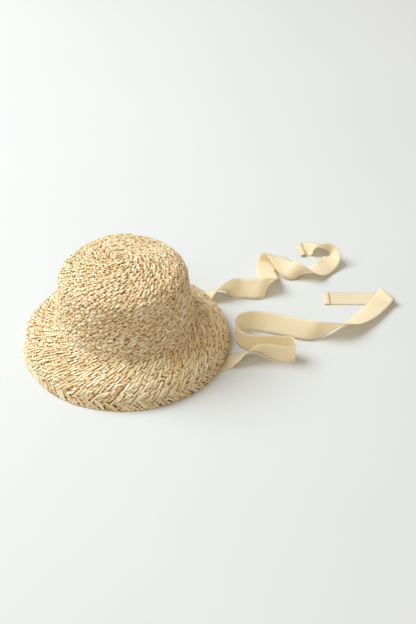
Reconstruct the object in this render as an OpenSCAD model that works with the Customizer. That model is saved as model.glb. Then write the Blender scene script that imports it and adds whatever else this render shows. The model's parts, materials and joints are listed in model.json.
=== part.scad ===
// Child's raffia sun hat with two ribbon ties.
// Millimetres, +Z up. The hat rests on its brim edge on the plane z = 0 and its
// crown axis is the Z axis. The brim edge plane, on the crown axis, is the origin.
// One raffia plait is sewn round and round from the tip outwards: every round laps
// over the outer half of the round before it. Each round is drawn as its own ring.

/* [Hat size] */
// Diameter across the brim edge
brim_d = 249; // [205:1:330]
// Diameter of the crown side where it meets the brim
crown_d = 160; // [130:1:200]
// Length of the crown side, measured along the slope
side_len = 53; // [38:1:75]
// Slope of the brim below the horizontal, degrees
brim_slope = 22; // [14:1:30]

/* [Shape] */
// Radius of the rounded shoulder of the crown
shoulder_r = 21; // [12:1:30]
// Slope of the crown side, degrees from the horizontal
side_slope = 82.5; // [78:0.5:88]
// Slope reached by the dome of the tip before the shoulder starts, degrees
dome_slope = 21; // [14:1:28]
// Radius of the bend between crown and brim
join_r = 8; // [6:0.5:12]
// Radius over which the brim edge turns down
edge_r = 30; // [22:1:36]
// Slope of the turned-down edge, degrees
edge_slope = 68; // [60:1:76]
// Length of the turned-down edge below the bend
edge_len = 15; // [11:0.5:20]

/* [Braid] */
// Thickness of the flat raffia plait
braid_t = 1.3; // [1:0.1:1.8]
// Share of a round that its neighbour covers and is covered by, as width over pitch
lap = 1.95; // [1.8:0.01:1.98]

/* [Band and ties] */
// Height of the sweatband
band_h = 20; // [14:1:26]
// Thickness of the sweatband
band_t = 0.8; // [0.6:0.1:1.2]
// Width of the ribbon ties
tie_w = 25; // [18:1:28]
// Thickness of the ribbon ties
tie_t = 0.8; // [0.6:0.1:1]

/* [Hidden] */
$fn = 180;
rounds = 17;
first_s = 5;
button_r = 11;
gap = 0.3;

// Meridian of the hat as arcs and straights, followed by its length s from the tip.
// slope_a and slope_b are the slopes where each stretch begins and ends; arc_r is its
// arc radius, 0 on a straight stretch.
slope_a = [0, dome_slope, side_slope, side_slope, brim_slope, brim_slope, edge_slope];
slope_b = [dome_slope, side_slope, side_slope, brim_slope, brim_slope, edge_slope, edge_slope];
side_top_r = crown_d / 2 - side_len * cos(side_slope);
dome_r = (side_top_r - shoulder_r * (sin(side_slope) - sin(dome_slope))) / sin(dome_slope);
join_x = join_r * (sin(side_slope) - sin(brim_slope));
turn_x = edge_r * (sin(edge_slope) - sin(brim_slope));
brim_x = brim_d / 2 - crown_d / 2 - join_x - turn_x - edge_len * cos(edge_slope);
brim_len = brim_x / cos(brim_slope);
arc_r = [dome_r, shoulder_r, 0, join_r, 0, edge_r, 0];
flat_len = [0, 0, side_len, 0, brim_len, 0, edge_len];
function run_len(k) = arc_r[k] > 0 ? arc_r[k] * abs(slope_b[k] - slope_a[k]) * PI / 180 : flat_len[k];
function run_x(k) = arc_r[k] > 0 ? arc_r[k] * abs(sin(slope_b[k]) - sin(slope_a[k]))
    : flat_len[k] * cos(slope_a[k]);
function run_z(k) = arc_r[k] > 0 ? arc_r[k] * abs(cos(slope_b[k]) - cos(slope_a[k]))
    : flat_len[k] * sin(slope_a[k]);
function sum_len(k) = k <= 0 ? 0 : sum_len(k - 1) + run_len(k - 1);
function sum_x(k) = k <= 0 ? 0 : sum_x(k - 1) + run_x(k - 1);
function sum_z(k) = k <= 0 ? 0 : sum_z(k - 1) + run_z(k - 1);
start_s = [for (k = [0:7]) sum_len(k)];
start_x = [for (k = [0:7]) sum_x(k)];
start_z = [for (k = [0:7]) sum_z(k)];
total_s = start_s[7];
hat_h = start_z[7];
function stretch(s, k = 6) = k == 0 || s >= start_s[k] ? k : stretch(s, k - 1);
function turn(k) = slope_b[k] > slope_a[k] ? 1 : -1;
function slope_at(s, k) = arc_r[k] > 0
    ? slope_a[k] + turn(k) * (s - start_s[k]) / arc_r[k] * 180 / PI
    : slope_a[k];
function on_arc(k, p) = [
    start_x[k] + turn(k) * arc_r[k] * (sin(p) - sin(slope_a[k])),
    hat_h - start_z[k] + turn(k) * arc_r[k] * (cos(p) - cos(slope_a[k]))];
function on_flat(k, s) = [
    start_x[k] + (s - start_s[k]) * cos(slope_a[k]),
    hat_h - start_z[k] - (s - start_s[k]) * sin(slope_a[k])];
function skin(s, n) = let (k = stretch(s), p = slope_at(s, k))
    (arc_r[k] > 0 ? on_arc(k, p) : on_flat(k, s)) + n * [sin(p), cos(p)];

// Rounds of the plait: equal pitch, each leaning so that the laps just clear.
pitch = (total_s - first_s) / (rounds - 1 + lap);
braid_w = lap * pitch;
lean = braid_t * lap * 1.1;
// Outline points sit on one grid of s, so that the chords of lapped rounds are parallel.
grid = 5;
steps = ceil(grid * lap);
function share(j) = min(j / (grid * lap), 1);
function round_s(i, u) = first_s + i * pitch + u * braid_w;
function round_n(u) = lean * (0.5 - u);
function round_outline(i, ext = 0) = concat(
    [for (j = [0:steps]) skin(round_s(i, share(j) * (1 + ext)), round_n(share(j)) + braid_t / 2)],
    [for (j = [steps:-1:0]) skin(round_s(i, share(j) * (1 + ext)), round_n(share(j)) - braid_t / 2)]);
function button_n(s) = round_n(max(0, s - first_s) / braid_w) - braid_t / 2 - 0.06;
straw = [[0.87, 0.77, 0.60], [0.84, 0.73, 0.55], [0.89, 0.80, 0.64]];
module braid_round(i) {
    color(straw[i % 3])
    rotate_extrude()
    polygon(round_outline(i));
}

// Sweatband: a true cylinder inside the crown side.
join_z = hat_h - start_z[3];
wall = braid_t / 2 + lean / 2;
band_z = join_z - 3;
band_top_x = skin(start_s[3] - (band_h - 3) / sin(side_slope), 0)[0];
band_r = band_top_x - wall - band_t - 0.35;

// Ties. The routes scale with the hat. Each station is [x, y, z, direction, lift]:
// a point of the centre line and the direction towards the ribbon's left edge.
k = brim_d / 249;
// Angles round the crown where the ties pass under the brim edge.
back_exit = 46;
front_exit = -18;
anchor_back = 140;
anchor_front = -40;
anchor_r = band_r + band_t + 0.25 + tie_t / 2;
function rooted(a, z, out = 0) = [
    (anchor_r + out) / k * cos(a), (anchor_r + out) / k * sin(a), z / k, a + 90, 0];
back_root_route = [
    rooted(anchor_back, band_z + 11),
    rooted(anchor_back, band_z + 4),
    rooted(anchor_back, band_z - 4, 0.8),
    [-63, 55, 28, 225, -6],
    [-63, 65, 19, 200, -24],
    [-56, 76, 14, 165, -50],
    [-42, 86, 12.5, 138, -60],
    [-24, 93, 12.5, 110, -61],
    [-4, 97, 12.5, 93, -61],
    [17, 97, 12, 82, -56],
    [37, 93, 10, 78, -42],
    [56, 89, 6.5, 84, -24],
    [73, 88, 2.5, 96, -6],
    [82, 88.5, 0.9, 100, 0],
    [89, 89, 0.8, 104, 0]];
back_route = [
    [89, 89, 0.8, 104, 0],
    [96, 89.5, 1.5, 100, 0],
    [104, 90, 5, 92, -16],
    [113, 90, 11, 88, -50],
    [122, 90.5, 14, 87, -76],
    [134, 93, 12.5, 268, -57],
    [149, 92, 12, 262, -54],
    [163, 91, 12.5, 246, -50],
    [173, 97, 12.4, 215, -36],
    [175, 113, 7, 192, -18],
    [173, 131, 5, 184, -6],
    [171, 147, 6, 186, 0],
    [175, 159, 9, 205, 8],
    [182, 163, 14, 232, 22],
    [188, 153, 15, 222, 12],
    [195, 140.5, 13, 219, -12],
    [201, 133, 11.5, 232, -42],
    [209, 129, 13.4, 250, -66],
    [219, 128, 11.3, 86, -60],
    [229, 131.5, 8.2, 106, -28],
    [238, 137, 6.4, 128, 6],
    [248, 146, 6.5, 140, 18],
    [257, 157.5, 6.8, 148, 6],
    [261.5, 167, 10, 152, -20],
    [259, 175, 12.9, 136, -42],
    [252, 182, 12.2, 112, -44],
    [243.5, 188, 8.8, 98, -26],
    [235, 191.5, 5.2, 108, -2],
    [227, 192, 3.6, 122, 4],
    [217, 188.5, 2.6, 134, 1]];
front_root_route = [
    rooted(anchor_front, band_z + 11),
    rooted(anchor_front, band_z + 4),
    rooted(anchor_front, band_z - 4, 0.8),
    [63, -54, 27, 53, 0],
    [70, -56, 15, 60, 0],
    [83, -53, 6, 76, 0],
    [97, -48, 1.6, 92, 0],
    [109, -43, 0.7, 102, 0],
    [120, -38, 0.6, 106, 0]];
front_route = [
    [120, -38, 0.6, 106, 0],
    [127, -36, 3.6, 98, -10],
    [136, -33, 7, 88, -20],
    [147, -31, 12, 87, -42],
    [158, -31, 15, 85, -67],
    [171, -35, 14, 82, -83],
    [183, -39, 13.5, 0, -89],
    [193, -40, 13.5, 0, -89],
    [200, -33, 13.5, 0, -89],
    [197, -23, 13.5, 0, -89],
    [184, -20, 13.5, 0, -89],
    [163, -19, 13.5, 0, -89],
    [146, -17, 13.5, 0, -89],
    [134, -8, 13.5, 0, -89],
    [130, 6, 13.5, 270, -85],
    [134, 18, 13.5, 270, -80],
    [146, 25, 13, 268, -68],
    [163, 25, 12, 265, -58],
    [183, 20, 12, 262, -54],
    [203, 13, 12, 260, -54],
    [220, 7, 13, 255, -62],
    [236, 7, 14, 99, -83],
    [250, 12, 13, 95, -58],
    [263, 20, 10.5, 97, -38],
    [277, 31, 7, 108, -20],
    [293, 47, 6, 122, -6],
    [309, 67, 6, 132, 0],
    [320, 84, 7, 136, 2],
    [324, 89, 7.5, 112, 10],
    [314, 87, 2.2, 90, 0],
    [290, 86, 0.9, 90, 0],
    [266, 86, 0.9, 90, 0],
    [243, 86, 0.9, 90, 0]];

function toward(a, e) = [cos(e) * cos(a), cos(e) * sin(a), sin(e)];
function unit(v) = v / norm(v);
function ease(a, b, c, d, t) = (2 * b + (c - a) * t + (2 * a - 5 * b + 4 * c - d) * t * t
    + (3 * b - a - 3 * c + d) * t * t * t) / 2;
function spot(r, i) = i < 0 ? 2 * spot(r, 0) - spot(r, 1)
    : i > len(r) - 1 ? 2 * spot(r, len(r) - 1) - spot(r, len(r) - 2)
    : k * [r[i][0], r[i][1], r[i][2]];
function edge(r, i) = let (j = min(max(i, 0), len(r) - 1)) toward(r[j][3], r[j][4]);
// A route is rounded off between its stations in this many steps.
sub = 3;
function centre(r) = [for (i = [0:len(r) - 2]) for (m = [0:sub - 1])
    ease(spot(r, i - 1), spot(r, i), spot(r, i + 1), spot(r, i + 2), m / sub),
    spot(r, len(r) - 1)];
function across(r) = [for (i = [0:len(r) - 2]) for (m = [0:sub - 1])
    ease(edge(r, i - 1), edge(r, i), edge(r, i + 1), edge(r, i + 2), m / sub),
    edge(r, len(r) - 1)];
function along(c) = [for (i = [0:len(c) - 1])
    unit(c[min(i + 1, len(c) - 1)] - c[max(i - 1, 0)])];
function square_to(w, t) = unit(w - (w * t) * t);
// Six corners of the ribbon's section: three across, on both faces.
function section(c, t, w, back, half) = let (n = cross(t, w))
    [for (f = [-1, 1]) for (v = [-1, 0, 1])
        c + v * half * w + f * tie_t / 2 * n + (v == 0 ? 0 : back) * t];
module ribbon(route, open_start, start_gap, half) {
    c = centre(route);
    t = along(c);
    w = [for (i = [0:len(c) - 1]) square_to(across(route)[i], t[i])];
    first = c[0] + start_gap * t[0];
    tip = section(first, t[0], w[0], open_start, half);
    rest = [for (i = [1:len(c) - 1])
        if (norm(c[i] - c[0]) > open_start + 1.2) section(c[i], t[i], w[i], 0, half)];
    rings = concat([tip], rest);
    m = len(rings);
    // Both faces are cut along the same diagonals, so that a twist doesn't pinch the ribbon.
    loop = [0, 1, 2, 5, 4, 3];
    pts = [for (q = rings) for (p = q) p];
    side = [for (i = [0:m - 2]) for (j = [0:5])
        let (a = 6 * i + loop[j], b = 6 * i + loop[(j + 1) % 6])
        each j == 3 || j == 4
            ? [[a, b, a + 6], [b, b + 6, a + 6]]
            : [[a, b, b + 6], [a, b + 6, a + 6]]];
    lo = [[0, 3, 1], [3, 4, 1], [1, 4, 2], [4, 5, 2]];
    hi = [for (q = lo) [6 * (m - 1) + q[0], 6 * (m - 1) + q[2], 6 * (m - 1) + q[1]]];
    polyhedron(points = pts, faces = concat(side, lo, hi), convexity = 10);
}

// The hinge line of a tie stands where it passes under the brim edge.
// The free run starts in a blunt V, opened a little more than it swings.
swing = 25;
swing_play = 7;
arch_w = tie_w + 29;
arch_h = 4.8;
arch_r = arch_w * arch_w / 8 / arch_h + arch_h / 2;
module arch(a) {
    rotate([0, 0, a])
    translate([brim_d / 2 - 16, 0, arch_h - arch_r])
    rotate([0, 90, 0])
    cylinder(h = 32, r = arch_r);
}
module root_tie(route) {
    ribbon(route, 0, 0, tie_w / 2);
}
module free_tie(route) {
    ribbon(route, tie_w / 2 * tan(swing + swing_play), gap, tie_w / 2);
}
// Hem stitches: short threads side by side on the upper face of the ribbon, near its end.
stitch_r = 0.25;
module hem_stitches(route, before_end) {
    c = centre(route);
    i = len(c) - 1 - before_end;
    t = along(c)[i];
    w = square_to(across(route)[i], t);
    n = cross(w, t);
    o = c[i] + (tie_t / 2 + stitch_r + 0.1) * n;
    for (j = [-3:3])
        translate(o + j * tie_w / 8.6 * w)
        multmatrix([for (axis = [0:2]) [t[axis], -w[axis], n[axis], 0]])
        rotate([0, 90, 0])
        cylinder(h = 0.8, r = stitch_r, center = true, $fn = 16);
}

module tip_button() {
    top = [for (j = [0:4]) button_n(j / 4 * button_r)];
    color(straw[2])
    rotate_extrude()
    polygon(concat(
        [[0, hat_h + top[0] - braid_t]],
        [for (j = [1:4]) skin(j / 4 * button_r, top[j] - braid_t)],
        [for (j = [4:-1:1]) skin(j / 4 * button_r, top[j])],
        [[0, hat_h + top[0]]]));
}
module tip_round_1() { braid_round(0); }
module tip_round_2() { braid_round(1); }
module tip_round_3() { braid_round(2); }
module tip_round_4() { braid_round(3); }
module tip_round_5() { braid_round(4); }
module shoulder_round_1() { braid_round(5); }
module shoulder_round_2() { braid_round(6); }
module side_round_1() { braid_round(7); }
module side_round_2() { braid_round(8); }
module side_round_3() { braid_round(9); }
module side_round_4() { braid_round(10); }
module join_round() { braid_round(11); }
module brim_round_1() { braid_round(12); }
module brim_round_2() { braid_round(13); }
module brim_round_3() { braid_round(14); }
module brim_round_4() { braid_round(15); }
module edge_round() {
    color(straw[1])
    difference() {
        rotate_extrude()
        intersection() {
            polygon(round_outline(16, 0.1));
            square([brim_d, hat_h]);
        }
        arch(back_exit);
        arch(front_exit);
    }
}
module sweatband() {
    color([0.90, 0.86, 0.76])
    difference() {
        translate([0, 0, band_z])
        cylinder(h = band_h, r = band_r + band_t);
        translate([0, 0, band_z - 1])
        cylinder(h = band_h + 2, r = band_r);
    }
}
module sweatband_stitching() {
    color([0.80, 0.70, 0.52])
    translate([0, 0, band_z + band_h - 3])
    rotate_extrude()
    translate([band_r + band_t + 0.15, 0])
    circle(r = 0.15, $fn = 16);
}
module back_tie_root() {
    color([0.95, 0.92, 0.83])
    root_tie(back_root_route);
}
module front_tie_root() {
    color([0.95, 0.92, 0.83])
    root_tie(front_root_route);
}
module tack(a) {
    rotate([0, 0, a])
    translate([anchor_r + tie_t / 2 + 0.25, 0, band_z + 5])
    rotate([0, 0, 90])
    rotate([90, 0, 0])
    for (i = [-2:2])
        translate([i * 1.2, 0, 0])
        rotate([0, 90, 0])
        cylinder(h = 0.9, r = 0.25, center = true, $fn = 16);
}
module back_tie_tack() {
    color([0.80, 0.70, 0.52])
    tack(anchor_back);
}
module front_tie_tack() {
    color([0.80, 0.70, 0.52])
    tack(anchor_front);
}
module back_tie() {
    color([0.96, 0.93, 0.85])
    free_tie(back_route);
}
module front_tie() {
    color([0.96, 0.93, 0.85])
    free_tie(front_route);
}
module back_tie_hem_stitches() {
    color([0.74, 0.60, 0.42])
    hem_stitches(back_route, 2);
}
module front_tie_hem_stitches() {
    color([0.74, 0.60, 0.42])
    hem_stitches(front_route, 1);
}

tip_button();
tip_round_1();
tip_round_2();
tip_round_3();
tip_round_4();
tip_round_5();
shoulder_round_1();
shoulder_round_2();
side_round_1();
side_round_2();
side_round_3();
side_round_4();
join_round();
brim_round_1();
brim_round_2();
brim_round_3();
brim_round_4();
edge_round();
sweatband();
sweatband_stitching();
back_tie_root();
front_tie_root();
back_tie_tack();
front_tie_tack();
back_tie();
front_tie();
back_tie_hem_stitches();
front_tie_hem_stitches();
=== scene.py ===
"""Child's raffia sun hat with two ribbon ties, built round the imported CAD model."""
import json
import math

import bpy
import numpy as np
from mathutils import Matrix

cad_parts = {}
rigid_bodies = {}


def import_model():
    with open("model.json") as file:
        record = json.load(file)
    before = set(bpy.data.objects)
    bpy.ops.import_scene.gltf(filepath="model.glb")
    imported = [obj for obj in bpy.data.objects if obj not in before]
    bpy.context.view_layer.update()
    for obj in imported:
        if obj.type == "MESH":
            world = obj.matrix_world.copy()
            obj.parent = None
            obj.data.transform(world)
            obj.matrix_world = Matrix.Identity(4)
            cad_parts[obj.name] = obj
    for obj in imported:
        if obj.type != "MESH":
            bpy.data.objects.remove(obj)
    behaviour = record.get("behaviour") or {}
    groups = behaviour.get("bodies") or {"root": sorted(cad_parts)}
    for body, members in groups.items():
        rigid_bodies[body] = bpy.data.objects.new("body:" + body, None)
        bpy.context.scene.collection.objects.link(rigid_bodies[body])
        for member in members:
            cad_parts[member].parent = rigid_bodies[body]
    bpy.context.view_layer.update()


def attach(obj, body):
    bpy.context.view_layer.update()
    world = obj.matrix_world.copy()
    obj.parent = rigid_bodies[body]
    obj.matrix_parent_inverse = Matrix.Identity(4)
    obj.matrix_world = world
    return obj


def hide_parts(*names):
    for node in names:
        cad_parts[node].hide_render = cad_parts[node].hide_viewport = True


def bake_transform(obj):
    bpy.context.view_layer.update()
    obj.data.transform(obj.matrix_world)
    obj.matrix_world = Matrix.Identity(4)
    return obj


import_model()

MM = 0.001
rng = np.random.default_rng(11)


# ---------------------------------------------------------------- camera, in metres and degrees
CAMERA_PLACE = (0.0974, -1.13159, 0.92035)
CAMERA_TILT = 52.3
CAMERA_LENS = 70
SENSOR_W = 36
SEEN_UP_TO = 20

camera_data = bpy.data.cameras.new("camera")
camera_data.lens = CAMERA_LENS
camera_data.sensor_width = SENSOR_W
camera_data.clip_end = SEEN_UP_TO
camera = bpy.data.objects.new("camera", camera_data)
camera.location = CAMERA_PLACE
camera.rotation_euler = (math.radians(CAMERA_TILT), 0, 0)
bpy.context.scene.collection.objects.link(camera)
bpy.context.scene.camera = camera


# ---------------------------------------------------------------- sizes, as in part.scad, in millimetres
BRIM_D = 249.0
CROWN_D = 160.0
SIDE_LEN = 53.0
BRIM_SLOPE = 22.0
SHOULDER_R = 21.0
SIDE_SLOPE = 82.5
DOME_SLOPE = 21.0
JOIN_R = 8.0
EDGE_R = 30.0
EDGE_SLOPE = 68.0
EDGE_LEN = 15.0
BRAID_T = 1.3
LAP = 1.95
BAND_H = 20.0
BAND_T = 0.8
TIE_W = 25.0
ROUNDS = 17
FIRST_S = 5.0
ANCHOR_BACK = 140.0
ANCHOR_FRONT = -40.0
BACK_EXIT = 46.0
FRONT_EXIT = -18.0
# The arch that lifts the brim edge over a tie: its spread, its height and how far up it is felt.
ARCH_SPREAD = 13.5
ARCH_H = 5.2
ARCH_REACH = 24.0


def sin(a):
    return math.sin(math.radians(a))


def cos(a):
    return math.cos(math.radians(a))


# The hat's outline is followed by its length s from the tip. Its slope is linear in s on every bend.
side_top_r = CROWN_D / 2 - SIDE_LEN * cos(SIDE_SLOPE)
dome_r = (side_top_r - SHOULDER_R * (sin(SIDE_SLOPE) - sin(DOME_SLOPE))) / sin(DOME_SLOPE)
join_x = JOIN_R * (sin(SIDE_SLOPE) - sin(BRIM_SLOPE))
turn_x = EDGE_R * (sin(EDGE_SLOPE) - sin(BRIM_SLOPE))
brim_x = (BRIM_D - CROWN_D) / 2 - join_x - turn_x - EDGE_LEN * cos(EDGE_SLOPE)
STRETCHES = [
    dome_r * math.radians(DOME_SLOPE),
    SHOULDER_R * math.radians(SIDE_SLOPE - DOME_SLOPE),
    SIDE_LEN,
    JOIN_R * math.radians(SIDE_SLOPE - BRIM_SLOPE),
    brim_x / cos(BRIM_SLOPE),
    EDGE_R * math.radians(EDGE_SLOPE - BRIM_SLOPE),
    EDGE_LEN]
KNOTS = np.concatenate([[0], np.cumsum(STRETCHES)])
SLOPES = [0, DOME_SLOPE, SIDE_SLOPE, SIDE_SLOPE, BRIM_SLOPE, BRIM_SLOPE, EDGE_SLOPE, EDGE_SLOPE]
TOTAL_S = KNOTS[-1]
STEP = 0.1
PAST_EDGE = 4
line_s = np.arange(0, TOTAL_S + PAST_EDGE, STEP)
line_slope = np.radians(np.interp(line_s, KNOTS, SLOPES))
line_r = np.concatenate([[0], np.cumsum(np.cos((line_slope[1:] + line_slope[:-1]) / 2)) * STEP])
line_z = -np.concatenate([[0], np.cumsum(np.sin((line_slope[1:] + line_slope[:-1]) / 2)) * STEP])
HAT_H = -np.interp(TOTAL_S, line_s, line_z)
line_z += HAT_H
PITCH = (TOTAL_S - FIRST_S) / (ROUNDS - 1 + LAP)
BRAID_W = LAP * PITCH
LEAN = BRAID_T * LAP * 1.1
join_z = np.interp(KNOTS[3], line_s, line_z)
BAND_Z = join_z - 3
band_top_r = np.interp(KNOTS[3] - (BAND_H - 3) / sin(SIDE_SLOPE), line_s, line_r)
BAND_R = band_top_r - (BRAID_T + LEAN) / 2 - BAND_T - 0.35
ANCHOR_R = BAND_R + BAND_T + 0.65


def radius_at(s):
    return np.interp(s, line_s, line_r)


def arch(azimuth, at):
    """How far the brim edge is lifted at an azimuth by a tie that passes under it."""
    off = (azimuth - math.radians(at) + math.pi) % (2 * math.pi) - math.pi
    return ARCH_H * np.exp(-(off * BRIM_D / 2 / ARCH_SPREAD) ** 2 / 2)


def hat_point(azimuth, s, n):
    """Points of the hat, in millimetres, n above its middle surface.

    Handwork leaves that surface a little uneven.
    """
    slope = np.interp(s, line_s, line_slope)
    uneven = (0.55 * np.sin(3 * azimuth + 1.1 + s / 38)
        + 0.4 * np.sin(5 * azimuth + 2.3 - s / 24)
        + 0.3 * np.sin(9 * azimuth + 0.5 + s / 15))
    uneven *= np.clip(s / 40, 0, 1)
    r = radius_at(s) + (n + uneven) * np.sin(slope)
    z = np.interp(s, line_s, line_z) + (n + uneven) * np.cos(slope)
    lifted = arch(azimuth, BACK_EXIT) + arch(azimuth, FRONT_EXIT)
    z = z + lifted * np.clip((ARCH_REACH - z) / ARCH_REACH, 0, 1) ** 1.5
    # Whatever would go below the floor is pressed flat on it.
    z = np.where(z < 1, 0.15 + 0.85 * np.exp(np.minimum(z - 1, 0)), z)
    return np.stack([r * np.cos(azimuth), r * np.sin(azimuth), z], axis=-1)


# ---------------------------------------------------------------- mesh helpers
def new_piece(name, points, faces):
    """A smooth mesh object from points in millimetres."""
    mesh = bpy.data.meshes.new(name)
    mesh.from_pydata((np.asarray(points) * MM).tolist(), [], faces)
    mesh.update()
    mesh.shade_smooth()
    piece = bpy.data.objects.new(name, mesh)
    bpy.context.scene.collection.objects.link(piece)
    return piece


def add_values(piece, name, values, kind="FLOAT"):
    field = "value" if kind == "FLOAT" else "vector"
    made = piece.data.attributes.new(name, kind, "POINT")
    made.data.foreach_set(field, np.asarray(values, np.float32).ravel())


def tube_faces(strips, rows, ring):
    """Faces of closed strips, each a row of rings with a cap at both ends."""
    i, k, j = np.meshgrid(np.arange(strips), np.arange(rows - 1), np.arange(ring), indexing="ij")
    a = (i * rows + k) * ring + j
    b = (i * rows + k) * ring + (j + 1) % ring
    sides = np.stack([a, b, b + ring, a + ring], axis=-1).reshape(-1, 4).tolist()
    start = np.arange(strips)[:, None] * rows * ring
    caps = (start + np.arange(ring)[::-1]).tolist()
    caps += (start + (rows - 1) * ring + np.arange(ring)).tolist()
    return sides + caps


def soft_step(x, middle, half):
    """From 0 to 1 about the middle, level at both ends."""
    t = np.clip((x - middle) / half / 2 + 0.5, 0, 1)
    return t * t * (3 - 2 * t)


# ---------------------------------------------------------------- ties
# Stations of part.scad: place of the centre line, direction towards the left edge, its lift.
def rooted(azimuth, z, out=0):
    r = ANCHOR_R + out
    return [r * cos(azimuth), r * sin(azimuth), z, azimuth + 90, 0]


back_root_route = [
    rooted(ANCHOR_BACK, BAND_Z + 11),
    rooted(ANCHOR_BACK, BAND_Z + 4),
    rooted(ANCHOR_BACK, BAND_Z - 4, 0.8),
    [-63, 55, 28, 225, -6],
    [-63, 65, 19, 200, -24],
    [-56, 76, 14, 165, -50],
    [-42, 86, 12.5, 138, -60],
    [-24, 93, 12.5, 110, -61],
    [-4, 97, 12.5, 93, -61],
    [17, 97, 12, 82, -56],
    [37, 93, 10, 78, -42],
    [56, 89, 6.5, 84, -24],
    [73, 88, 2.5, 96, -6],
    [82, 88.5, 0.9, 100, 0],
    [89, 89, 0.8, 104, 0]]
back_route = [
    [89, 89, 0.8, 104, 0],
    [96, 89.5, 1.5, 100, 0],
    [104, 90, 5, 92, -16],
    [113, 90, 11, 88, -50],
    [122, 90.5, 14, 87, -76],
    [134, 93, 12.5, 268, -57],
    [149, 92, 12, 262, -54],
    [163, 91, 12.5, 246, -50],
    [173, 97, 12.4, 215, -36],
    [175, 113, 7, 192, -18],
    [173, 131, 5, 184, -6],
    [171, 147, 6, 186, 0],
    [175, 159, 9, 205, 8],
    [182, 163, 14, 232, 22],
    [188, 153, 15, 222, 12],
    [195, 140.5, 13, 219, -12],
    [201, 133, 11.5, 232, -42],
    [209, 129, 13.4, 250, -66],
    [219, 128, 11.3, 86, -60],
    [229, 131.5, 8.2, 106, -28],
    [238, 137, 6.4, 128, 6],
    [248, 146, 6.5, 140, 18],
    [257, 157.5, 6.8, 148, 6],
    [261.5, 167, 10, 152, -20],
    [259, 175, 12.9, 136, -42],
    [252, 182, 12.2, 112, -44],
    [243.5, 188, 8.8, 98, -26],
    [235, 191.5, 5.2, 108, -2],
    [227, 192, 3.6, 122, 4],
    [217, 188.5, 2.6, 134, 1]]
front_root_route = [
    rooted(ANCHOR_FRONT, BAND_Z + 11),
    rooted(ANCHOR_FRONT, BAND_Z + 4),
    rooted(ANCHOR_FRONT, BAND_Z - 4, 0.8),
    [63, -54, 27, 53, 0],
    [70, -56, 15, 60, 0],
    [83, -53, 6, 76, 0],
    [97, -48, 1.6, 92, 0],
    [109, -43, 0.7, 102, 0],
    [120, -38, 0.6, 106, 0]]
front_route = [
    [120, -38, 0.6, 106, 0],
    [127, -36, 3.6, 98, -10],
    [136, -33, 7, 88, -20],
    [147, -31, 12, 87, -42],
    [158, -31, 15, 85, -67],
    [171, -35, 14, 82, -83],
    [183, -39, 13.5, 0, -89],
    [193, -40, 13.5, 0, -89],
    [200, -33, 13.5, 0, -89],
    [197, -23, 13.5, 0, -89],
    [184, -20, 13.5, 0, -89],
    [163, -19, 13.5, 0, -89],
    [146, -17, 13.5, 0, -89],
    [134, -8, 13.5, 0, -89],
    [130, 6, 13.5, 270, -85],
    [134, 18, 13.5, 270, -80],
    [146, 25, 13, 268, -68],
    [163, 25, 12, 265, -58],
    [183, 20, 12, 262, -54],
    [203, 13, 12, 260, -54],
    [220, 7, 13, 255, -62],
    [236, 7, 14, 99, -83],
    [250, 12, 13, 95, -58],
    [263, 20, 10.5, 97, -38],
    [277, 31, 7, 108, -20],
    [293, 47, 6, 122, -6],
    [309, 67, 6, 132, 0],
    [320, 84, 7, 136, 2],
    [324, 89, 7.5, 112, 10],
    [314, 87, 2.2, 90, 0],
    [290, 86, 0.9, 90, 0],
    [266, 86, 0.9, 90, 0],
    [243, 86, 0.9, 90, 0]]
TIE_T = 0.36
TIE_STEP = 2.5
TIE_ACROSS = 9
SPANS = 12
# The ribbon is settled in so many turns. In the last ones the stations don't hold it any more.
SETTLE_TURNS = 420
FREE_TURNS = 40
HOLD_HIDDEN = 0.4
HOLD_SEEN = 0.03
TIE_LOWEST = 0.35
HEM_ROWS = 4


def direction(azimuth, lift):
    return [cos(lift) * cos(azimuth), cos(lift) * sin(azimuth), sin(lift)]


def unit(v):
    return v / np.linalg.norm(v, axis=-1, keepdims=True)


def length_along(line):
    """Length of a line of points up to each of them."""
    return np.concatenate([[0], np.cumsum(np.linalg.norm(np.diff(line, axis=0), axis=1))])


def spline(points, per_span):
    """Catmull-Rom curve through the points, straight on at both ends."""
    p = np.vstack([2 * points[0] - points[1], points, 2 * points[-1] - points[-2]])
    t = (np.arange(per_span) / per_span)[:, None]
    spans = [
        (2 * b + (c - a) * t + (2 * a - 5 * b + 4 * c - d) * t ** 2
            + (3 * b - a - 3 * c + d) * t ** 3) / 2
        for a, b, c, d in zip(p, p[1:], p[2:], p[3:])]
    return np.vstack(spans + [points[-1:]])


def tie_target(route):
    """Rows of points across the ribbon, at even steps along it, as the stations have it."""
    centre = spline(np.array([row[:3] for row in route], float), SPANS)
    across = spline(np.array([direction(*row[3:]) for row in route]), SPANS)
    run = length_along(centre)
    even = np.linspace(0, run[-1], int(round(run[-1] / TIE_STEP)) + 1)
    centre = np.stack([np.interp(even, run, axis) for axis in centre.T], axis=-1)
    across = np.stack([np.interp(even, run, axis) for axis in across.T], axis=-1)
    ahead = unit(np.gradient(centre, axis=0))
    across = unit(across - (across * ahead).sum(-1, keepdims=True) * ahead)
    v = np.linspace(-1, 1, TIE_ACROSS) * TIE_W / 2
    return centre[:, None] + v[None, :, None] * across[:, None], run[-1]


def shifted(count, by):
    """Two slices of a row that pair every place with the place by further on."""
    if by >= 0:
        return slice(0, count - by), slice(by, count)
    return slice(-by, count), slice(0, count + by)


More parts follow.
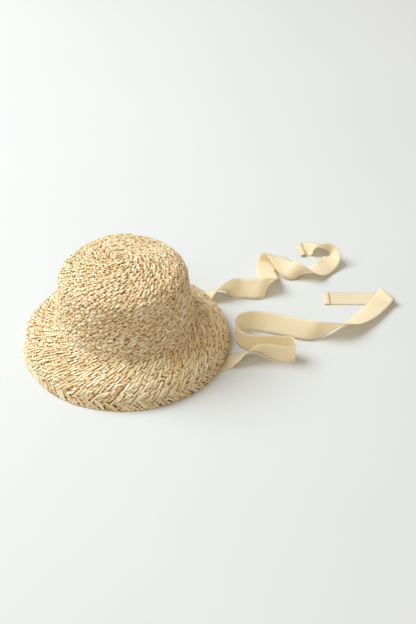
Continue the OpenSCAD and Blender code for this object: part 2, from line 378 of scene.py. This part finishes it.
def settle(target, length, held_rows):
    """The ribbon bends but doesn't stretch: the sides of its grid are brought to their flat lengths."""
    grid = target.copy()
    rows, columns = grid.shape[:2]
    along = length / (rows - 1)
    wide = TIE_W / (columns - 1)
    slant = math.hypot(along, wide)
    # Steps along and across, the flat length between them, and to what share of it they may close up.
    sides = [(1, 0, along, 1), (0, 1, wide, 1), (1, 1, slant, 1), (1, -1, slant, 1),
        (0, columns - 1, TIE_W, 1), (3, 0, 3 * along, 0.9), (5, 0, 5 * along, 0.8)]
    hold = np.full((rows, 1, 1), HOLD_SEEN)
    hold[:held_rows] = HOLD_HIDDEN
    for turn in range(SETTLE_TURNS):
        move = np.zeros_like(grid)
        for di, dj, flat, least in sides:
            (ia, ib), (ja, jb) = shifted(rows, di), shifted(columns, dj)
            gap = grid[ib, jb] - grid[ia, ja]
            size = np.maximum(np.linalg.norm(gap, axis=-1, keepdims=True), 1e-6)
            push = gap * (1 - flat * least / size) / 2
            if least < 1:
                push = np.minimum(size < flat * least, 1) * push
            move[ia, ja] += push
            move[ib, jb] -= push
        grid += move * 0.28
        if turn < SETTLE_TURNS - FREE_TURNS:
            grid += hold * (target - grid)
        grid[..., 2] = np.maximum(grid[..., 2], TIE_LOWEST)
    return grid


def grid_normals(grid):
    return unit(np.cross(np.gradient(grid, axis=0), np.gradient(grid, axis=1)))


def sheet_piece(name, grid):
    """A closed sheet of ribbon about a grid of points, with its flat coordinates for the weave."""
    normals = grid_normals(grid)
    rows, columns = grid.shape[:2]
    around = columns * 2
    up = grid + normals * TIE_T / 2
    down = grid - normals * TIE_T / 2
    points = np.concatenate([up, down[:, ::-1]], axis=1).reshape(-1, 3)
    faces = tube_faces(1, rows, around)
    piece = new_piece(name, points, faces)
    run = length_along(grid[:, columns // 2])
    v = np.linspace(-0.5, 0.5, columns) * TIE_W
    v = np.concatenate([v, v[::-1]])
    flat = np.stack(np.broadcast_arrays(run[:, None], v[None], 0.0), axis=-1)
    add_values(piece, "flat", flat * MM, "FLOAT_VECTOR")
    return piece


THREAD_R = 0.22
THREAD_ROWS = 7
THREAD_RING = 8


def thread(first, last, lift):
    """Points and faces of short arched stitches, from first to last, raised by lift in the middle."""
    t = np.linspace(0, 1, THREAD_ROWS)
    ahead = unit(last - first)
    side = unit(np.cross(ahead, lift))
    path = first[:, None] + (last - first)[:, None] * t[None, :, None]
    path = path + lift[:, None] * (4 * t * (1 - t))[None, :, None]
    thin = THREAD_R * (0.35 + 0.65 * np.sqrt(4 * t * (1 - t)))
    up = unit(lift)
    turn = np.linspace(0, 2 * np.pi, THREAD_RING, endpoint=False)
    circle = (np.cos(turn)[None, None, :, None] * side[:, None, None]
        + np.sin(turn)[None, None, :, None] * up[:, None, None])
    points = path[:, :, None] + circle * thin[None, :, None, None]
    return points.reshape(-1, 3), tube_faces(len(first), THREAD_ROWS, THREAD_RING)


def stitches(name, centres, ahead, up, length, lift):
    """A row of stitches about their centres, each along ahead and arched towards up."""
    first = centres - ahead * length / 2
    last = centres + ahead * length / 2
    points, faces = thread(first, last, up * lift)
    return new_piece(name, points, faces)


def make_tie(name, root, free):
    """One ribbon from its place under the band to its hemmed end, with the hem and its stitches."""
    target, length = tie_target(root + free[1:])
    held = int(len(target) * 0.9 * len(root) / (len(root) + len(free) - 1))
    grid = settle(target, length, held)
    tie = sheet_piece(name + "_ribbon", grid)
    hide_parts(name, name + "_root")
    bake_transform(tie)
    # The hem is the last of the ribbon, folded back over its upper face.
    above = -grid_normals(grid)
    raised = np.array([0.95, 1.1, 1.25, 1.2])[:, None, None] * TIE_T * 1.15
    fold = grid[-HEM_ROWS:] + above[-HEM_ROWS:] * raised
    fold[-1] += unit(grid[-1] - grid[-2]) * 0.3
    hem = sheet_piece(name + "_hem", fold)
    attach(hem, name)
    v = np.linspace(-0.86, 0.86, 9)
    sewn = grid[-HEM_ROWS]
    at = np.stack([np.interp(v, np.linspace(-1, 1, TIE_ACROSS), axis) for axis in sewn.T], axis=-1)
    ahead = np.repeat(unit(sewn[-1] - sewn[0])[None], len(v), 0)
    up = np.repeat(above[-HEM_ROWS, TIE_ACROSS // 2][None], len(v), 0)
    row = stitches(name + "_hem_thread", at + up * (TIE_T * 1.5 + 0.05), ahead, up, 1.9, 0.25)
    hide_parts(name + "_hem_stitches")
    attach(row, name)
    return [tie, hem]


# Each tie runs from under the band, out past the brim edge, to its hemmed end.
ribbons = make_tie("back_tie", back_root_route, back_route)
ribbons += make_tie("front_tie", front_root_route, front_route)


# ---------------------------------------------------------------- plaited rounds
STRAND_W = 4.5
CROSSINGS = 9
ROWS_PER_CROSSING = 3
ROWS = np.linspace(0, 1, CROSSINGS * ROWS_PER_CROSSING + 1)
# Section of a strand: place across, and height on its upper (first five) or lower face.
RING_V = np.array([-1, -0.55, 0, 0.55, 1, 0.62, 0, -0.62])
RING_UP = np.array([0, 0.8, 1, 0.8, 0, 0, 0, 0])
RING_DOWN = np.array([0, 0, 0, 0, 0, 0.7, 1, 0.7])
# How far a strand lies above or below the middle where it crosses, and how round its back is.
LAYER = 0.52
CROWN = 0.6
LEAST_STRANDS = 9
FOLD_SHARE = 0.1
DARK_SHARE = 0.05
# About one turn, in radians, for waves that begin anywhere.
ONE_TURN = 6.28
# Strands are bound under at every third crossing, and in the outer rounds at every fifth.
TIGHT_ROUNDS = 13
TIGHT_BIND = 3
LOOSE_BIND = 5
BUTTON_S = 0.6
BUTTON_W = 11.5
BUTTON_STRANDS = 7
BUTTON_LEAN = -1.2


def straw_piece(name, points, faces, fibre, tone, painted_gap_shade):
    """A piece of straw on the hat, with what its material needs at each point."""
    piece = new_piece(name, points, faces)
    add_values(piece, "fibre", fibre * MM, "FLOAT_VECTOR")
    add_values(piece, "tone", tone)
    add_values(piece, "painted_gap_shade", painted_gap_shade)
    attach(piece, "hat")
    return piece


def lies_over(strand, crossing, bind):
    """1 where a strand of the first set is on top at a crossing, else -1.

    Over the half of the plait nearer the tip it is on top except at every bind-th crossing, and
    over the other half the reverse.
    """
    bound = (strand + crossing) % bind == 0
    return np.where(bound == (crossing > 0), 1, -1)


def plait(name, start_s, width, count=None, lean=LEAN, bind=TIGHT_BIND):
    """One round of the plait: two sets of strands that cross, over and under one another."""
    middle_r = radius_at(start_s + 0.27 * width)
    count = count or max(LEAST_STRANDS, bind * int(round(2 * math.pi * middle_r / STRAND_W / bind)))
    share = 2 * math.pi / count
    # A strand turns faster about the axis where the round is narrow.
    grid_u = np.linspace(0, 1, 81)
    spread = np.cumsum(1 / np.maximum(radius_at(start_s + grid_u * width), middle_r * 0.55))
    spread = np.interp(ROWS, grid_u, (spread - spread[0]) / (spread[-1] - spread[0]))
    # Both edges of the plait are folds, where the strands come together and are thinner.
    edge = np.minimum(ROWS, 1 - ROWS)
    fold = np.sqrt(np.clip(1 - (1 - np.minimum(edge / FOLD_SHARE, 1)) ** 2, 0, 1))
    thin = 0.5 + 0.5 * fold
    # Crossings are counted from -4 at the tip-side edge to 5 at the other edge.
    crossings = np.arange(-4, 6)
    place = (ROWS - 0.5) * CROSSINGS + 0.5
    before = np.clip(np.floor(place).astype(int), -4, 4)
    between = soft_step(place - before, 0.5, 0.42)
    strand = np.arange(count)[:, None]
    along = (ROWS - 0.5)[:, None] * width
    v = RING_V
    points, fibre, tone, painted_gap_shade = [], [], [], []
    first = rng.uniform(0, 2 * math.pi)
    for way in (-1, 1):
        # What each strand has of its own, from 0 to 1.
        (aside, bends, bend_at, broad, edge_bends, edge_at, raised, wave_at, tilted, round_by,
            crease_at, slid, reach, waves) = rng.random((count, 14)).T[:, :, None]
        if way < 0:
            over = lies_over(strand, crossings, bind)
        else:
            over = -lies_over(strand + crossings, crossings, bind)
        face = over[:, before + 4] * (1 - between) + over[:, before + 5] * between
        azimuth = (strand + (0 if way < 0 else 0.5)) * share
        azimuth = azimuth + (aside - 0.5) * share * 0.5
        azimuth = azimuth + way * CROSSINGS / 2 * share * (spread - 0.5) * (1 + 0.09 * (reach - 0.5))
        azimuth = azimuth + first + share * 0.14 * np.sin(ROWS * (4 + 7 * bends) + ONE_TURN * bend_at)
        half = share * (0.37 + 0.24 * broad) * (0.88 + 0.16 * face)
        half = half * (1 + 0.14 * np.sin(ROWS * (6 + 9 * edge_bends) + ONE_TURN * edge_at))
        high = LAYER * face * fold
        high = high + 0.26 * (raised - 0.5) + 0.2 * np.sin(ROWS * (9 + 9 * waves) + ONE_TURN * wave_at)
        tilt = (0.3 + 0.55 * (tilted - 0.35)) * face * fold
        ridge = CROWN * (0.7 + 0.6 * round_by)[:, :, None]
        crease = 1 - 0.6 * np.exp(-((v - (crease_at[:, :, None] - 0.5) * 1.1) / 0.2) ** 2)
        n = lean * (0.5 - ROWS)[:, None] + high[:, :, None] - way * tilt[:, :, None] * v
        n = n + thin[:, None] * (RING_UP * ridge * crease - RING_DOWN * 0.5)
        n = n - (0.55 * (1 - fold) * (ROWS < 0.5))[:, None]
        s = start_s + width * ROWS[:, None] + 1.7 * (slid[:, :, None] - 0.5)
        s = s + 0.5 * (1 - np.abs(v)) * (np.where(ROWS < 0.5, -1, 1) * (1 - fold))[:, None]
        a = azimuth[:, :, None] + half[:, :, None] * v
        points.append(hat_point(a, s, n).reshape(-1, 3))
        number = (strand * 2 + (way > 0) + start_s * 7)[:, :, None]
        flat = np.broadcast_arrays(along * 1.4, v * STRAND_W * 0.5, number * 3.7)
        fibre.append(np.stack(flat, axis=-1).reshape(-1, 3))
        shade = np.clip(rng.normal(0.56, 0.11, count), 0.05, 1)
        dark = rng.random(count) < DARK_SHARE
        shade = np.where(dark, shade * 0.45, shade)
        tone.append(np.broadcast_to(shade[:, None, None], a.shape).ravel())
        # Painted shade: a strand gets a share of warm darkening where it lies under a crossing and
        # towards its edges, as if the gaps there were in shade.
        gap_shade = np.clip(0.42 - face[:, :, None] * 0.5 + 0.35 * np.abs(v) ** 3, 0, 1)
        painted_gap_shade.append(gap_shade.ravel())
    faces = tube_faces(2 * count, len(ROWS), len(RING_V))
    return straw_piece(name, np.concatenate(points), faces,
        np.concatenate(fibre), np.concatenate(tone), np.concatenate(painted_gap_shade))


NODES_IN_ORDER = (
    ["tip_round_%d" % i for i in range(1, 6)] + ["shoulder_round_1", "shoulder_round_2"]
    + ["side_round_%d" % i for i in range(1, 5)] + ["join_round"]
    + ["brim_round_%d" % i for i in range(1, 5)] + ["edge_round"])
plaits = []
for number, node in enumerate(NODES_IN_ORDER):
    bind = TIGHT_BIND if number < TIGHT_ROUNDS else LOOSE_BIND
    made = plait(node + "_plait", FIRST_S + number * PITCH, BRAID_W, bind=bind)
    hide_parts(node)
    plaits.append(made)
button = plait("tip_button_plait", BUTTON_S, BUTTON_W, count=BUTTON_STRANDS, lean=BUTTON_LEAN)
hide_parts("tip_button")
plaits.append(button)


FIBRES = 90
FIBRE_ROWS = 7
# Section of a fibre: place across, and height.
FIBRE_V = np.array([-1, 0, 1, 0])
FIBRE_UP = np.array([0, 0.12, 0, -0.06])


def loose_fibres():
    """A few split ends and fibres that stand a little proud of the plait."""
    start_s = rng.uniform(8, TOTAL_S - 6, FIBRES)
    azimuth = rng.uniform(0, 2 * np.pi, FIBRES)
    length = rng.uniform(4, 11, FIBRES)
    heading = rng.uniform(-0.9, 0.9, FIBRES) + np.where(rng.random(FIBRES) < 0.5, 0, np.pi)
    t = np.linspace(0, 1, FIBRE_ROWS)
    start_r = radius_at(start_s)[:, None]
    ahead_s = np.sin(heading)[:, None]
    ahead_a = np.cos(heading)[:, None]
    along = length[:, None] * t
    s = start_s[:, None] + along * ahead_s
    a = azimuth[:, None] + along * ahead_a / start_r
    lifted = rng.uniform(0.2, 1.3, FIBRES)[:, None] * t ** 2 * 1.3
    n = 1.9 + LEAN / 2 * 0.6 + lifted - 0.9 * (1 - t) ** 2
    half = rng.uniform(0.2, 0.42, FIBRES)[:, None] * (1 - 0.75 * t ** 2)
    wide = half[:, :, None] * FIBRE_V
    ring_a = a[:, :, None] - wide * ahead_s[:, :, None] / start_r[:, :, None]
    ring_s = s[:, :, None] + wide * ahead_a[:, :, None]
    points = hat_point(ring_a, ring_s, n[:, :, None] + FIBRE_UP).reshape(-1, 3)
    number = np.arange(FIBRES)[:, None, None]
    flat = np.stack(np.broadcast_arrays(along[:, :, None], wide, number * 5.1), axis=-1)
    tone = np.broadcast_to(rng.uniform(0.45, 1, FIBRES)[:, None, None], ring_a.shape)
    faces = tube_faces(FIBRES, FIBRE_ROWS, len(FIBRE_V))
    return straw_piece("loose_fibres", points, faces, flat, tone, np.zeros(ring_a.size))


plaits.append(loose_fibres())


# ---------------------------------------------------------------- sweatband, its stitching and the tacks
BAND_AROUND = 240
PROFILE_H = 20
SEAM_STITCHES = 150
SEAM_BELOW_TOP = 3
TACK_STITCHES = 5
TACK_STEP = 2.2
TACK_UP = 5


def sweatband():
    """A cotton band with its top edge turned outwards, wavy by a hair where it is sewn."""
    azimuth = np.linspace(0, 2 * np.pi, BAND_AROUND, endpoint=False)
    # Outline of the band: distance from its inner face, and height.
    profile = [(0.05, 0.0), (0.0, 0.5), (0, 4), (0, 9), (0, 14), (0, 18.6), (0.12, 19.6),
        (0.45, 20.0), (0.78, 19.6), (0.85, 18.6), (0.8, 16.2), (0.6, 16.0), (0.5, 14), (0.5, 9),
        (0.5, 4), (0.5, 0.5), (0.35, 0.0)]
    r = np.array([BAND_R + out for out, up in profile])
    z = np.array([BAND_Z + up * BAND_H / PROFILE_H for out, up in profile])
    wave = 0.12 * np.sin(azimuth * 61) * np.clip((z - BAND_Z)[:, None] / BAND_H, 0, 1)
    ring = r[:, None] + wave
    high = np.broadcast_to(z[:, None], ring.shape)
    points = np.stack([ring * np.cos(azimuth), ring * np.sin(azimuth), high], axis=-1)
    faces = []
    for k in range(len(profile)):
        row = k * BAND_AROUND
        next_row = (k + 1) % len(profile) * BAND_AROUND
        for j in range(BAND_AROUND):
            after = (j + 1) % BAND_AROUND
            faces.append([row + j, next_row + j, next_row + after, row + after])
    piece = new_piece("sweatband_cloth", points.reshape(-1, 3), faces)
    flat = np.stack(np.broadcast_arrays(azimuth[None] * BAND_R, z[:, None], 0.0), axis=-1)
    add_values(piece, "flat", flat * MM, "FLOAT_VECTOR")
    return piece


band = sweatband()
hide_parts("sweatband")
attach(band, "hat")

turn = np.linspace(0, 2 * np.pi, SEAM_STITCHES, endpoint=False)
outward = np.stack([np.cos(turn), np.sin(turn), 0 * turn], axis=-1)
sideways = np.stack([-np.sin(turn), np.cos(turn), 0 * turn], axis=-1)
seam_at = outward * (BAND_R - 0.1) + [0, 0, BAND_Z + BAND_H - SEAM_BELOW_TOP]
band_thread = stitches("sweatband_thread", seam_at, sideways, -outward, 2.3, 0.2)
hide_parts("sweatband_stitching")
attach(band_thread, "hat")

for name, at in (("back_tie_tack", ANCHOR_BACK), ("front_tie_tack", ANCHOR_FRONT)):
    out = np.array([cos(at), sin(at), 0])
    along = np.array([-sin(at), cos(at), 0])
    aside = (np.arange(TACK_STITCHES) - TACK_STITCHES // 2)[:, None] * TACK_STEP
    spots = out * (ANCHOR_R + 0.5) + along * aside + [0, 0, BAND_Z + TACK_UP]
    upright = np.tile([0, 0, 1.0], (TACK_STITCHES, 1))
    tack = stitches(name + "_thread", spots, upright, np.tile(out, (TACK_STITCHES, 1)), 2.4, 0.25)
    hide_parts(name)
    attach(tack, "hat")


# ---------------------------------------------------------------- materials
class Nodes:
    """Short calls for building a material's nodes."""

    def __init__(self, name):
        self.material = bpy.data.materials.new(name)
        self.material.use_nodes = True
        self.tree = self.material.node_tree
        self.shader = self.tree.nodes["Principled BSDF"]
        self.output = self.tree.nodes["Material Output"]

    def add(self, kind, inputs=None, **settings):
        node = self.tree.nodes.new("ShaderNode" + kind)
        for key, value in settings.items():
            setattr(node, key, value)
        for key, value in (inputs or {}).items():
            self.set(node.inputs[key], value)
        return node

    def set(self, socket, value):
        if isinstance(value, bpy.types.NodeSocket):
            self.tree.links.new(value, socket)
        else:
            socket.default_value = value

    def attribute(self, name):
        return self.add("Attribute", attribute_name=name)

    def math(self, operation, a, b=0.0, c=0.5, clamp=False):
        inputs = {0: a, 1: b, 2: c}
        return self.add("Math", inputs, operation=operation, use_clamp=clamp).outputs[0]

    def bands(self, vector, direction, scale, distortion, detail_scale=1.0):
        return self.add("TexWave", {
            "Vector": vector, "Scale": scale, "Distortion": distortion, "Detail": 1.0,
            "Detail Scale": detail_scale}, bands_direction=direction).outputs["Fac"]

    def scaled(self, vector, scale):
        return self.add("Mapping", {"Vector": vector, "Scale": scale}).outputs[0]

    def noise(self, vector, scale=1.0, detail=2.0, rough=0.5):
        return self.add("TexNoise", {
            "Vector": vector, "Scale": scale, "Detail": detail, "Roughness": rough}).outputs["Fac"]

    def ramp(self, value, stops):
        node = self.add("ValToRGB", {"Fac": value})
        made = node.color_ramp.elements
        while len(made) < len(stops):
            made.new(0.5)
        for element, (place, colour) in zip(made, stops):
            element.position = place
            element.color = (*colour, 1)
        return node.outputs["Color"]

    def mix(self, share, a, b, blend="MIX"):
        node = self.add("Mix", data_type="RGBA", blend_type=blend)
        self.set(node.inputs["Factor"], share)
        self.set(node.inputs[6], a)
        self.set(node.inputs[7], b)
        return node.outputs[2]

    def bump(self, height, strength, distance, normal=None):
        node = self.add("Bump", {"Height": height, "Strength": strength, "Distance": distance})
        if normal is not None:
            self.set(node.inputs["Normal"], normal)
        return node.outputs["Normal"]

    def surface(self, colour, roughness, specular, normal=None, **more):
        self.set(self.shader.inputs["Base Color"], colour)
        self.set(self.shader.inputs["Roughness"], roughness)
        self.shader.inputs["Specular IOR Level"].default_value = specular
        for key, value in more.items():
            self.shader.inputs[key.replace("_", " ")].default_value = value
        if normal is not None:
            self.set(self.shader.inputs["Normal"], normal)


def raffia_material():
    n = Nodes("raffia")
    fibre = n.attribute("fibre").outputs["Vector"]
    tone = n.attribute("tone").outputs["Fac"]
    place = n.add("NewGeometry").outputs["Position"]
    streak = n.noise(n.scaled(fibre, (70, 1900, 900)), 1.0, 3.0, 0.6)
    fine = n.noise(n.scaled(fibre, (160, 5200, 900)), 1.0, 2.0, 0.5)
    patch = n.noise(place, 26.0, 2.0, 0.5)
    blot = n.noise(n.scaled(fibre, (240, 420, 900)), 1.0, 1.0, 0.5)
    value = n.math("MULTIPLY_ADD", streak, 0.42, tone)
    value = n.math("ADD", value, -0.25)
    value = n.math("ADD", value, n.math("MULTIPLY", patch, 0.16))
    value = n.math("ADD", value, n.math("MULTIPLY", blot, 0.12), clamp=True)
    colour = n.ramp(value, [
        (0.0, (0.26, 0.12, 0.035)),
        (0.2, (0.50, 0.31, 0.12)),
        (0.4, (0.67, 0.51, 0.27)),
        (0.62, (0.74, 0.62, 0.39)),
        (0.82, (0.80, 0.72, 0.53)),
        (1.0, (0.88, 0.83, 0.68))])
    blush = n.math("GREATER_THAN", n.noise(n.scaled(fibre, (18, 1, 1300)), 1.0, 0.0), 0.7)
    colour = n.mix(n.math("MULTIPLY", blush, 0.35), colour, (0.80, 0.48, 0.24, 1))
    # Painted shade: the colour is multiplied towards a warm brown by that share, deepest in the gaps and
    # under the crossings.
    colour = n.mix(n.attribute("painted_gap_shade").outputs["Fac"], colour, (0.72, 0.42, 0.15, 1), "MULTIPLY")
    normal = n.bump(streak, 0.55, 0.0003)
    normal = n.bump(fine, 0.35, 0.00012, normal)
    rough = n.math("MULTIPLY_ADD", fine, 0.25, 0.42)
    n.surface(colour, rough, 0.42, normal)
    return n.material


# The ribbon's woven edges begin this far from its middle line.
SELVEDGE_FROM = 11.3


def ribbon_material():
    n = Nodes("ribbon")
    flat = n.attribute("flat").outputs["Vector"]
    place = n.add("NewGeometry").outputs["Position"]
    ribs = n.bands(flat, "X", 320.0, 0.6, 2.0)
    yarns = n.bands(flat, "Y", 520.0, 0.8, 2.0)
    slub = n.noise(n.scaled(flat, (900, 60, 1)), 1.0, 2.0, 0.55)
    soft = n.noise(place, 30.0, 2.0, 0.5)
    split = n.add("SeparateXYZ", {0: flat})
    from_middle = n.math("ABSOLUTE", split.outputs["Y"])
    selvedge = n.math("GREATER_THAN", from_middle, SELVEDGE_FROM * MM)
    shade = n.math("MULTIPLY_ADD", slub, 0.3, n.math("MULTIPLY", soft, 0.35))
    shade = n.math("ADD", shade, n.math("MULTIPLY", ribs, 0.14))
    shade = n.math("ADD", shade, n.math("MULTIPLY", selvedge, -0.08), clamp=True)
    colour = n.ramp(shade, [
        (0.15, (0.93, 0.85, 0.66)),
        (0.5, (0.98, 0.94, 0.80)),
        (0.8, (0.99, 0.97, 0.90))])
    height = n.math("ADD", ribs, n.math("MULTIPLY", yarns, 0.45))
    normal = n.bump(height, 0.3, 0.00012)
    normal = n.bump(slub, 0.25, 0.0002, normal)
    n.surface(colour, 0.62, 0.25, normal, Sheen_Weight=0.25, Sheen_Roughness=0.45)
    through = n.add("BsdfTranslucent", {"Color": n.mix(0.25, colour, (1.0, 0.80, 0.46, 1), "MULTIPLY")})
    both = n.add("MixShader", {0: 0.5, 1: n.shader.outputs[0], 2: through.outputs[0]})
    n.tree.links.new(both.outputs[0], n.output.inputs["Surface"])
    return n.material


def cotton_material():
    n = Nodes("band_cloth")
    flat = n.attribute("flat").outputs["Vector"]
    warp = n.bands(flat, "X", 380.0, 1.0)
    weft = n.bands(flat, "Y", 380.0, 1.0)
    weave = n.math("MULTIPLY", warp, weft)
    cloud = n.noise(n.add("NewGeometry").outputs["Position"], 45.0, 3.0, 0.55)
    shade = n.math("ADD", n.math("MULTIPLY", weave, 0.25), n.math("MULTIPLY", cloud, 0.8), clamp=True)
    colour = n.ramp(shade, [
        (0.2, (0.60, 0.51, 0.36)),
        (0.55, (0.74, 0.66, 0.50)),
        (0.9, (0.82, 0.76, 0.62))])
    n.surface(colour, 0.9, 0.2, n.bump(weave, 0.5, 0.0002), Sheen_Weight=0.2)
    return n.material


def thread_material():
    n = Nodes("thread")
    place = n.add("NewGeometry").outputs["Position"]
    twist = n.noise(place, 2600.0, 2.0, 0.5)
    colour = n.ramp(twist, [(0.25, (0.42, 0.27, 0.13)), (0.7, (0.62, 0.45, 0.25))])
    n.surface(colour, 0.75, 0.25, n.bump(twist, 0.4, 0.0001))
    return n.material


def floor_material():
    n = Nodes("floor")
    place = n.add("NewGeometry").outputs["Position"]
    cloud = n.noise(place, 3.0, 2.0, 0.5)
    colour = n.ramp(cloud, [(0.3, (0.595, 0.625, 0.65)), (0.7, (0.61, 0.64, 0.665))])
    n.surface(colour, 0.85, 0.15)
    return n.material


raffia = raffia_material()
ribbon = ribbon_material()
cotton = cotton_material()
thread_look = thread_material()
for piece in plaits:
    piece.data.materials.append(raffia)
for piece in ribbons:
    piece.data.materials.append(ribbon)
band.data.materials.append(cotton)
for piece in bpy.context.scene.objects:
    if piece.name.endswith("_thread"):
        piece.data.materials.append(thread_look)


# ---------------------------------------------------------------- floor and light
FLOOR_HALF = 6.0
LIT_PLACE = (0.05, 0, 0)
WORLD_COLOUR = (1.0, 0.85, 0.66, 1)
WORLD_STRENGTH = 0.56

floor_mesh = bpy.data.meshes.new("floor")
corners = [(x * FLOOR_HALF, y * FLOOR_HALF, 0) for x, y in ((-1, -1), (1, -1), (1, 1), (-1, 1))]
floor_mesh.from_pydata(corners, [], [(0, 1, 2, 3)])
floor = bpy.data.objects.new("floor", floor_mesh)
bpy.context.scene.collection.objects.link(floor)
floor.data.materials.append(floor_material())


def soft_box(name, place, size, power, colour):
    """A rectangular light, in metres, turned towards the hat."""
    data = bpy.data.lights.new(name, "AREA")
    data.shape = "RECTANGLE"
    data.size, data.size_y = size
    data.energy = power
    data.color = colour
    light = bpy.data.objects.new(name, data)
    light.location = place
    way = np.array(LIT_PLACE) - np.array(place)
    flat = math.hypot(way[0], way[1])
    light.rotation_euler = (math.atan2(flat, -way[2]), 0, math.atan2(way[1], way[0]) - math.pi / 2)
    bpy.context.scene.collection.objects.link(light)


soft_box("key", (-1.75, 0.55, 2.2), (1.9, 1.9), 108, (0.93, 0.985, 1.0))
soft_box("front", (-0.9, -2.2, 2.5), (1.6, 1.2), 13, (0.95, 0.985, 1.0))

world = bpy.data.worlds.new("studio")
world.use_nodes = True
background = world.node_tree.nodes["Background"]
background.inputs["Color"].default_value = WORLD_COLOUR
background.inputs["Strength"].default_value = WORLD_STRENGTH
bpy.context.scene.world = world
bpy.context.scene.view_settings.view_transform = "Standard"
bpy.context.scene.view_settings.look = "None"
